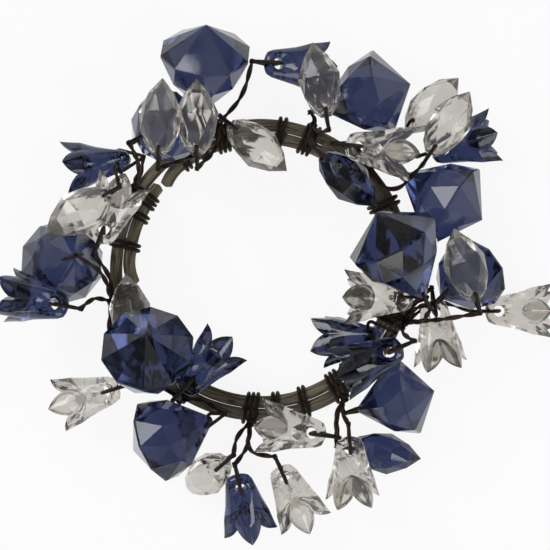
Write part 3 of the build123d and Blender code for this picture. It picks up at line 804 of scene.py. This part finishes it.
@dataclass
class Bell(Bead):
    """A bead with five broad petals round a shallow cup, moulded smooth."""

    length: float = 21.0
    flare: float = 11.8
    petals: int = 5
    columns: int = 120
    hole: float = 2.2
    sink: float = 4.956
    neck: float = 4.366
    mouth_drop: float = 1.47
    lip_share: float = 0.22
    lip_inset: float = 0.24
    cup_bottom: float = 0.48
    neck_share: float = 0.35
    neck_rows: int = 26
    petal_rows: int = 30
    cup_rows: int = 26
    drill_sides: int = 48
    drill_margin: float = 6.0
    sink_step: float = 0.25
    pole_reach: float = 0.01
    rim_rounding: float = 0.18
    rim_angle: float = 38.0
    smooth_angle: float = 32.0

    places = np.array([-0.27, -0.262, -0.235, -0.20, -0.10, 0.03, 0.20, 0.36, 0.62, 1.0])
    across = np.array([0.0, 0.10, 0.27, 0.385, 0.475, 0.525, 0.59, 0.65, 0.775, 0.815])
    along = np.array([0.0, 0.05, 0.14, 0.20, 0.29, 0.365, 0.475, 0.578, 0.755, 0.815])
    parting = np.array([0.0, 0.0, 0.0, 0.0, 0.0, 0.0, 0.01, 0.03, 0.10, 0.18])

    def surface(self) -> np.ndarray:
        """Closed skin of the bell, from the back of the neck over the petals to the middle of the cup.

        With u the share of the way from a petal's tip (0) to a valley (1), the rim lies at
        length (1 - 0.17 u - 0.07 u^3). Outside, a point at a share v of the way from back to rim lies
        at the half widths that the tables give for its share s of the length, times
        1 + parting (1 - 1.75 u^0.9) and times flare (0.965 + 0.033 s^6), with s held within 0 and 1 in
        the last. Inside, w grows from 0 to 1. The radius is the rim's times
        1 - lip inset * lip - (1 - lip inset) cup, where lip grows to 1 over the first share of w and
        cup over the rest. The depth falls from the rim by the mouth's drop times lip^1.1, and then
        to the cup's bottom by a share 1 - (1 - cup)^1.5 of the way.

        Returns:
            Points of shape (rows, columns, 3) with X along the hole and Z to the petals.
        """
        angle = full_turn(self.columns)
        u = np.abs((angle * self.petals / np.pi + 1) % 2 - 1)
        rim = self.length * (1.0 - 0.17 * u - 0.07 * u ** 3)
        back = self.places[0] * self.length
        neck_part = self.neck_share * np.linspace(0, 1, self.neck_rows) ** 1.6
        v = np.concatenate([neck_part, np.linspace(self.neck_share, 1, self.petal_rows)[1:]])[:, None]
        height = back + v * (rim - back)
        share = height / self.length
        part = np.interp(share, self.places, self.parting) * (1 - 1.75 * u ** 0.9)
        reach = self.flare * (0.965 + 0.033 * np.clip(share, 0, 1) ** 6)
        x = np.interp(share, self.places, self.along) * (1 + part) * np.cos(angle) * reach
        y = np.interp(share, self.places, self.across) * (1 + part) * np.sin(angle) * reach
        outer = np.stack([x, y, height], axis=-1)
        w = np.linspace(0, 1, self.cup_rows)[1:, None]
        lip = np.minimum(w / self.lip_share, 1.0)
        cup = np.clip((w - self.lip_share) / (1 - self.lip_share), 0, 1)
        inward = 1 - self.lip_inset * lip - (1 - self.lip_inset) * cup
        bottom = self.cup_bottom * self.length
        lip_height = rim - self.mouth_drop * lip ** 1.1
        depth = lip_height + (bottom - lip_height) * (1 - (1 - cup) ** 1.5)
        inner = np.stack([inward * outer[-1, :, 0], inward * outer[-1, :, 1], depth], axis=-1)
        return np.concatenate([outer, inner])

    def skin(self, name: str) -> bpy.types.Object:
        """Make the unit bell's skin, its two poles closed to points by a weld.

        Args:
            name: Name of the object.

        Returns:
            The new object.
        """
        rings = self.surface()
        piece = place_object(name, mesh_from(name, rings, ring_quads(len(rings), self.columns).tolist()))
        shaped(piece, "WELD", merge_threshold=self.pole_reach * MM)
        return piece

    def cutter(self, name: str) -> bpy.types.Object:
        """Make a round hole along X with a countersink at both ends, as one solid of revolution.

        The radius is the hole's in the middle and grows one for one with |x| beyond the place where
        the countersink starts.

        Args:
            name: Name of the object.

        Returns:
            The new object.
        """
        start = self.neck - (self.sink - self.hole)
        out = np.array([0.0, start, start + self.sink_step, self.neck, self.neck + self.drill_margin])
        x = np.concatenate([-out[:0:-1], out])[:, None]
        radius = self.hole + np.maximum(np.abs(x) - start, 0.0)
        angle = full_turn(self.drill_sides)
        rings = joined(x, radius * np.cos(angle), radius * np.sin(angle))
        last = (len(rings) - 1) * len(angle)
        faces = ring_quads(len(rings), len(angle)).tolist()
        faces += [list(range(len(angle)))[::-1], list(range(last, last + len(angle)))]
        return place_object(name, mesh_from(name, rings, faces))

    def unit(self) -> bpy.types.Mesh:
        """Make the drilled bell with its wire hole at the origin, once for all copies.

        Returns:
            The bell's mesh.
        """
        made = bpy.data.meshes.get("bell_unit")
        if made is not None:
            return made
        piece, cutter = self.skin("bell_skin"), self.cutter("bell_cutter")
        shaped(piece, "BOOLEAN", operation="DIFFERENCE", object=cutter, solver="EXACT")
        round_edges(piece, self.rim_rounding, self.rim_angle)
        made = baked(piece)
        made.name = "bell_unit"
        for spare in (piece, cutter):
            bpy.data.objects.remove(spare)
        return made

    def build(self) -> bpy.types.Object:
        """Place a copy of the unit bell.

        A point (x, y, z) goes to hole + x h + y (axis x h) + z axis, with h the hole's direction.

        Returns:
            The new piece.
        """
        mesh = self.unit().copy()
        name = self.place.name + "_moulded"
        mesh.name = name
        points = np.empty(len(mesh.vertices) * 3)
        mesh.vertices.foreach_get("co", points)
        axis, hole = self.place.axis(), self.place.hole_axis()
        turn = np.stack([hole, np.cross(axis, hole), axis])
        placed = points.reshape(-1, 3) @ turn + np.array(self.place.hole) * MM
        mesh.vertices.foreach_set("co", placed.ravel())
        mesh.polygons.foreach_set("use_smooth", np.ones(len(mesh.polygons), dtype=bool))
        mesh.update()
        mesh.set_sharp_from_angle(angle=math.radians(self.smooth_angle))
        return place_object(name, mesh)


@dataclass
class Hoop:
    """Sizes of the hoop that rods, windings and knots share, in millimetres."""

    radius: float = 55.4
    rod_offset: float = 2.55
    rod_height: float = 4.25
    rod_radius: float = 2.5
    top_rod_radius: float = 1.8
    top_rod_rise: float = 3.5857
    top_rod_start: float = 64.0
    top_rod_end: float = -10.0
    end_gap: float = 1.0
    clearance: float = 0.15
    root_lift: float = 1.8
    root_rise: float = 50.0

    def polar(self, bearing: np.ndarray, radius: np.ndarray, height: np.ndarray) -> np.ndarray:
        """Points (r cos b, r sin b, z) at bearings b in degrees round the hoop."""
        turn = np.radians(np.asarray(bearing, dtype=float))
        return joined(radius * np.cos(turn), radius * np.sin(turn), height)

    def has_top_rod(self, bearing: float) -> bool:
        """Whether the third rod lies on the hoop at a bearing."""
        return self.top_rod_end <= (bearing + 180) % 360 - 180 <= self.top_rod_start

    def root(self, bearing: float) -> np.ndarray:
        """Place on the outer shoulder where a knot's wires leave the hoop.

        Args:
            bearing: Bearing of the knot in degrees.

        Returns:
            The place.
        """
        reach = self.rod_radius + self.clearance + self.root_lift
        rise = math.radians(self.root_rise)
        radius = self.radius + self.rod_offset + reach * math.cos(rise)
        return self.polar(bearing, radius, self.rod_height + reach * math.sin(rise))


@dataclass
class VineRod:
    """One length of vine with slight swellings, and ridges that wander round it."""

    hoop: Hoop
    name: str
    start: float
    end: float
    offset: float
    height: float
    radius: float
    bent: bool
    seed: int
    sides: int = 40
    step: float = 0.8
    bent_length: float = 11.0
    bent_radius: float = 18.0
    end_rounding: float = 1.2
    arc_points: int = 400
    bent_points: int = 40

    def path(self) -> np.ndarray:
        """Centre line: an arc round the hoop, its far end on a tighter arc inwards when it is bent.

        Returns:
            Evenly spaced points.
        """
        radius = self.hoop.radius + self.offset
        last = self.end - (math.degrees(self.bent_length / radius) if self.bent else 0.0)
        arc = self.hoop.polar(np.linspace(self.start, last, self.arc_points), radius, self.height)
        if self.bent:
            centre = self.hoop.polar(last, radius - self.bent_radius, 0.0)
            turned = last + math.degrees(self.bent_length / self.bent_radius)
            bearings = np.linspace(last, turned, self.bent_points)[1:]
            arc = np.concatenate([arc, self.hoop.polar(bearings, self.bent_radius, self.height) + centre])
        return resample(arc, self.step)

    def build(self) -> bpy.types.Object:
        """Sweep the rod.

        Its radius at angle a and place s is R (0.988 + relief / 2 + 0.4 swell), at most 0.998 R, so it
        stays inside the plain rod. The relief is a sum of waves depth fade cos(k (a + drift s) + phase)
        with fade = 0.6 + 0.4 sin(pace s + phase), and the swell is the sum of two slow sines of s. The
        whole shrinks over the rounded ends.

        Returns:
            The new piece.
        """
        random = np.random.default_rng(self.seed)
        path = self.path()
        along = np.arange(len(path)) * self.step
        angles = full_turn(self.sides)
        relief, swell = np.zeros((len(path), self.sides)), np.zeros(len(path))
        for waves, depth in ((3, 0.030), (5, 0.026), (9, 0.020), (14, 0.014)):
            phase = random.uniform(0, FULL_PHASE)
            drift, pace = random.uniform(-0.03, 0.03), random.uniform(0.02, 0.09)
            fade = 0.6 + 0.4 * np.sin(along * pace + random.uniform(0, FULL_PHASE))
            ridges = np.cos(waves * angles[None] + phase + drift * waves * along[:, None])
            relief += depth * fade[:, None] * ridges
        for depth, pace in ((0.022, 0.11), (0.014, 0.31)):
            swell += depth * np.sin(along * pace + random.uniform(0, FULL_PHASE))
        share = 0.988 + relief * 0.5 + swell[:, None] * 0.4
        ends = rounded_ends(path, self.end_rounding)
        radii = self.radius * np.minimum(share, 0.998) * ends[:, None]
        return tube_object(self.name + "_bark", [swept_rings(path, UP, radii, self.sides)])


@dataclass
class Winding:
    """Wire wound round the rods, starting and ending underneath."""

    hoop: Hoop
    bearing: float
    turns: int = 2
    pitch: float = 2.1
    radius: float = 0.7
    skin: float = 0.985
    corner_share: float = 0.45
    corner_limit: float = 3.0
    step: float = 0.35
    sides: int = 12

    def corners(self) -> np.ndarray:
        """Corners of the route: out low, out high, in high, in low, and so on round the rods.

        Returns:
            Corner points, each a quarter pitch further along the hoop.
        """
        reach = self.hoop.rod_radius + self.hoop.clearance + self.radius
        low, high = self.hoop.rod_height - reach, self.hoop.rod_height + reach
        if self.hoop.has_top_rod(self.bearing):
            top = self.hoop.rod_height + self.hoop.top_rod_rise + self.hoop.top_rod_radius
            high = top + self.hoop.clearance + self.radius
        inner = self.hoop.radius - self.hoop.rod_offset - reach
        outer = self.hoop.radius + self.hoop.rod_offset + reach
        index = np.arange(-1, 4 * self.turns + 1)
        radius = np.array([outer, outer, inner, inner])[index % 4]
        height = np.array([low, high, high, low])[index % 4]
        radius[[0, -1]] = self.hoop.radius
        height[-1] = low
        along = self.pitch * (index + 0.5) / 4 - self.turns * self.pitch / 2
        return self.hoop.polar(self.bearing + np.degrees(along / self.hoop.radius), radius, height)

    def strand(self) -> np.ndarray:
        """Sweep the wire along its rounded route.

        Returns:
            Ring array.
        """
        path = rounded_route(self.corners(), self.corner_share, self.step, self.corner_limit)
        bearing = np.arctan2(path[:, 1], path[:, 0])
        across = np.stack([-np.sin(bearing), np.cos(bearing), np.zeros(len(path))], axis=1)
        radii = self.skin * self.radius * rounded_ends(path, self.radius)
        return swept_rings(path, across, radii, self.sides)


@dataclass
class Spray:
    """One knot on the hoop and the wires of all its beads.

    A coil is given by the radius of its centre line, its number of turns and its wire's radius.
    """

    hoop: Hoop
    knot: Knot
    name: str
    beads: list = field(default_factory=list)
    strand_radius: float = 0.54
    loop_radius: float = 0.7
    loop_skin: float = 0.985
    strand_shift: float = 0.84
    twist: float = 0.4
    stem_step: float = 0.4
    bend_share: float = 0.45
    loop_step: float = 0.3
    loop_share: float = 0.2
    foot_gap: float = 0.35
    knot_turns: int = 3
    root_coil: tuple = (1.15, 2.6, 0.45)
    foot_coil: tuple = (0.66, 2.2, 0.36)
    root_lean: float = 0.7
    coil_pitch: float = 2.1
    coil_points: int = 28
    coil_sides: int = 10
    sides: int = 12

    def pair(self, bead: BeadPlace) -> list:
        """Two strands twisted about a bead's stem.

        A strand's centre is the stem's, moved by a share of its radius times (cos f, sin f) square to
        the stem, where f grows with the distance along it, and the other strand's the opposite way.

        Args:
            bead: The bead that the stem carries.

        Returns:
            Two ring arrays.
        """
        root, foot = self.hoop.root(self.knot.value), bead.foot()
        bend = np.array(bead.bend)
        path = rounded_route(np.array([root, bend, foot]), self.bend_share, self.stem_step)
        plane = unit(np.cross(bend - root, foot - bend))
        tangents = unit(np.gradient(path, axis=0))
        other = np.cross(tangents, plane)
        start = hash_share(bead.name) * FULL_PHASE
        phase = self.twist * self.stem_step * np.arange(len(path)) + start
        spread = np.cos(phase)[:, None] * plane + np.sin(phase)[:, None] * other
        shift = self.strand_radius * self.strand_shift * spread
        radii = self.strand_radius * rounded_ends(path, self.strand_radius)
        return [swept_rings(path + side * shift, plane, radii, self.sides) for side in (1.0, -1.0)]

    def loop(self, bead: BeadPlace) -> np.ndarray:
        """The wire through a bead's hole and back to its foot.

        Args:
            bead: The bead on the loop.

        Returns:
            Ring array.
        """
        half = bead.cut.value[0] * bead.hole_axis()
        part = self.foot_gap * bead.hole_axis()
        hole, foot = np.array(bead.hole), bead.foot()
        corners = np.array([foot + part, hole + half, hole - half, foot - part])
        path = rounded_route(corners, self.loop_share, self.loop_step)
        side = np.cross(bead.axis(), bead.hole_axis())
        radii = self.loop_skin * self.loop_radius * rounded_ends(path, self.loop_radius)
        return swept_rings(path, side, radii, self.sides)

    def collar(
        self, centre: np.ndarray, axis: np.ndarray, reach: float, turns: float, wire: float
    ) -> np.ndarray:
        """Short coil of wire that binds a joint.

        Its centre line is centre + axis h (t - 1/2) + R (cos 2 pi n t, sin 2 pi n t) square to the axis,
        and its height h is the pitch, in wire radii, times the number of turns.

        Args:
            centre: Middle of the coil.
            axis: Direction of the coil.
            reach: Radius of the centre line.
            turns: Number of turns n.
            wire: Radius of the wire.

        Returns:
            Ring array.
        """
        t = np.linspace(0.0, 1.0, int(self.coil_points * turns))
        first = unit(np.cross(axis, SKEW))
        second = np.cross(axis, first)
        angle = 2 * np.pi * turns * t
        path = centre + axis * (turns * self.coil_pitch * wire * (t[:, None] - 0.5))
        path = path + reach * (np.cos(angle)[:, None] * first + np.sin(angle)[:, None] * second)
        return swept_rings(path, axis, wire * rounded_ends(path, wire), self.coil_sides)

    def build(self) -> bpy.types.Object:
        """Make the knot's winding, root coil, stems, loops and foot coils as one piece.

        Returns:
            The new piece.
        """
        strands = [Winding(self.hoop, self.knot.value, self.knot_turns).strand()]
        root = self.hoop.root(self.knot.value)
        out = unit(np.array([root[0], root[1], 0.0]))
        strands.append(self.collar(root, unit(out + self.root_lean * UP), *self.root_coil))
        for bead in self.beads:
            strands += self.pair(bead)
            strands.append(self.loop(bead))
            strands.append(self.collar(bead.foot(), bead.axis(), *self.foot_coil))
        return tube_object(self.name + "_strands", strands)


def hash_share(word: str) -> float:
    """A share from 0 to 1 that a word always gives: sum of code (place + 3), modulo 97, by 97."""
    return sum(ord(letter) * (place + 3) for place, letter in enumerate(word)) % 97 / 97.0


# ---------------------------------------------------------------- stage


@dataclass(frozen=True)
class Studio:
    """Floor, lamps and camera. Sizes are in metres, or in millimetres where a name ends in mm."""

    eye_mm: tuple = (5.6, -2.0, 604.25)
    span_mm: float = 220.0
    distance_mm: float = 600.0
    sensor_mm: float = 36.0
    floor_sides: int = 64
    floor_rows: int = 40
    floor_radii: tuple = (0.02, 3.0)
    floor_rise: float = 0.004
    floor_drop: float = 0.0002
    glow: float = 0.90
    room_light: float = 0.62
    lamps: tuple = (
        ("window_left", (-0.9, 0.7, 1.0), 0.7, 9.0),
        ("window_right", (1.0, -0.5, 0.9), 0.5, 4.0),
        ("window_front", (0.1, -1.2, 0.7), 0.6, 3.0),
    )

    def camera(self) -> None:
        """Camera straight above the ring; its lens shows the span at the hoop's height."""
        data = bpy.data.cameras.new("overhead_camera")
        data.sensor_width = self.sensor_mm
        data.lens = self.sensor_mm * self.distance_mm / self.span_mm
        data.clip_start = 0.01
        data.clip_end = 20.0
        camera = place_object("overhead_camera", data)
        camera.location = tuple(value * MM for value in self.eye_mm)
        bpy.context.scene.camera = camera

    def floor(self) -> None:
        """Wide pale floor, a gentle dish whose height grows with the fourth power of the radius."""
        radii = np.linspace(*self.floor_radii, self.floor_rows)[:, None]
        turn = full_turn(self.floor_sides)
        height = self.floor_rise * radii ** 4 - self.floor_drop
        rings = joined(radii * np.cos(turn), radii * np.sin(turn), height)
        faces = ring_quads(self.floor_rows, self.floor_sides)[:, ::-1].tolist()
        faces.append(list(range(self.floor_sides)))
        mesh = mesh_from("pale_floor", rings / MM, faces)
        mesh.update()
        floor = place_object("pale_floor", mesh)
        mesh.materials.append(self.paper())

    def paper(self) -> bpy.types.Material:
        """White paper, lit up a little for the camera, for gloss and through the beads.

        Returns:
            The floor's material.
        """
        material = blank_material("pale_paper")
        nodes = Nodes(material.node_tree)
        rays = nodes.new("ShaderNodeLightPath").outputs
        seen = rays["Is Camera Ray"]
        for kind in ("Is Glossy Ray", "Is Transmission Ray"):
            seen = nodes.math("MAXIMUM", seen, rays[kind])
        share = nodes.math("MULTIPLY", seen, self.glow)
        white = {"Base Color": (0.93, 0.93, 0.93, 1.0), "Roughness": 0.9}
        shader = nodes.new("ShaderNodeBsdfPrincipled", white).outputs[0]
        light = nodes.new("ShaderNodeEmission", {"Color": (1.0, 1.0, 1.0, 1.0), "Strength": 1.0}).outputs[0]
        mixed = nodes.new("ShaderNodeMixShader", {0: share, 1: shader, 2: light})
        nodes.new("ShaderNodeOutputMaterial", {"Surface": mixed.outputs[0]})
        return material

    def lamp(self, name: str, place: tuple, size: float, power: float) -> None:
        """Square soft lamp that looks at the ring.

        Args:
            name: Name of the lamp.
            place: Where it hangs, in metres.
            size: Side of the square, in metres.
            power: Power in watts.
        """
        data = bpy.data.lights.new(name, "AREA")
        data.shape = "SQUARE"
        data.size = size
        data.energy = power
        lamp = place_object(name, data)
        lamp.location = place
        x, y, z = -np.array(place)
        tilt = math.acos(-z / math.hypot(x, y, z))
        lamp.rotation_euler = (tilt, 0.0, math.atan2(y, x) - math.pi / 2)

    def room(self) -> bpy.types.World:
        """Soft room whose walls and ceiling differ in brightness, for the facets to show.

        Returns:
            The world.
        """
        world = bpy.data.worlds.new("soft_room")
        world.use_nodes = True
        world.node_tree.nodes.clear()
        nodes = Nodes(world.node_tree)
        place = nodes.new("ShaderNodeTexCoord").outputs["Generated"]
        tones = [(0.36, (0.06, 0.06, 0.065)), (0.5, (0.42, 0.42, 0.43)), (0.62, (1.0, 1.0, 0.98))]
        tone = nodes.ramp(nodes.noise(place, 2.3, 0.0), tones)
        background = nodes.new("ShaderNodeBackground", {"Color": tone, "Strength": self.room_light})
        nodes.new("ShaderNodeOutputWorld", {"Surface": background.outputs[0]})
        return world

    def build(self) -> None:
        """Set up the whole stage."""
        self.camera()
        self.floor()
        for row in self.lamps:
            self.lamp(*row)
        bpy.context.scene.world = self.room()
        bpy.context.scene.view_settings.view_transform = "Standard"


@dataclass
class CandleRing:
    """The whole ring: rods, windings, sprays and beads."""

    hoop: Hoop = field(default_factory=Hoop)

    def rods(self) -> list:
        """Set out the lengths of vine. Ends that meet in a line have a short gap between them.

        Returns:
            The four rods.
        """
        hoop = self.hoop
        gap = math.degrees(hoop.end_gap / hoop.radius)
        out, wide = hoop.rod_offset, hoop.rod_radius
        low, high = hoop.rod_height, hoop.rod_height + hoop.top_rod_rise
        start, end, thin = hoop.top_rod_start, hoop.top_rod_end, hoop.top_rod_radius
        return [
            VineRod(hoop, "vine_rod_outer", 222 + gap - 360, 222.0, out, low, wide, False, 3),
            VineRod(hoop, "vine_rod_inner_short", 139 + gap, 187.0, -out, low, wide, True, 8),
            VineRod(hoop, "vine_rod_inner_long", 187 + gap - 360, 139.0, -out, low, wide, True, 5),
            VineRod(hoop, "vine_rod_top", end, start, 0.0, high, thin, False, 9),
        ]

    def windings(self) -> dict:
        """Set out the windings that carry no beads.

        Returns:
            Bearings in degrees, by the node that they stand for.
        """
        return {
            "wire_windings_left": (156.0, 169.5),
            "wire_windings_top": (124.5, 115.5, 82.0),
            "wire_windings_right": (28.0,),
            "wire_windings_bottom": (-49.5, -72.0, -84.0),
        }

    def build(self, materials: dict) -> None:
        """Build and dress every piece.

        Args:
            materials: Materials by slot.
        """
        for rod in self.rods():
            dress_piece(rod.build(), Slot.BARK, materials, HOOP_BODY, rod.name)
        for node, bearings in self.windings().items():
            strands = [Winding(self.hoop, bearing).strand() for bearing in bearings]
            dress_piece(tube_object(node + "_strands", strands), Slot.WIRE, materials, HOOP_BODY, node)
        for knot in Knot:
            name = "wire_spray_" + knot.name.lower()
            spray = Spray(self.hoop, knot, name, [place for place in BEADS if place.knot is knot])
            dress_piece(spray.build(), Slot.WIRE, materials, HOOP_BODY, name)
        for place in BEADS:
            bead = Bell(place) if place.cut is Cut.BELL else Bead(place)
            bead.dress(bead.build(), materials)


def main() -> None:
    """Make the finishes, the ring and the stage."""
    logging.basicConfig(level=logging.INFO, format="%(name)s: %(message)s")
    make_effects()
    finishes = {
        Slot.BLUE: AcrylicFinish("blue_acrylic", (0.024, 0.032, 0.086), (0.040, 0.053, 0.126)),
        Slot.CLEAR: AcrylicFinish(
            "clear_acrylic", (0.66, 0.63, 0.585), (0.54, 0.515, 0.48), ripple=0.10, through=0.94
        ),
        Slot.BARK: BarkFinish("vine_bark", (0.41, 0.375, 0.285), (0.25, 0.218, 0.155), (0.055, 0.042, 0.029)),
        Slot.WIRE: PaperFinish(
            "paper_wire", (0.0045, 0.003, 0.0028), (0.013, 0.008, 0.0065), (0.07, 0.026, 0.016)
        ),
    }
    CandleRing().build({slot: finish.material() for slot, finish in finishes.items()})
    Studio().build()


if __name__ == "__main__":
    main()
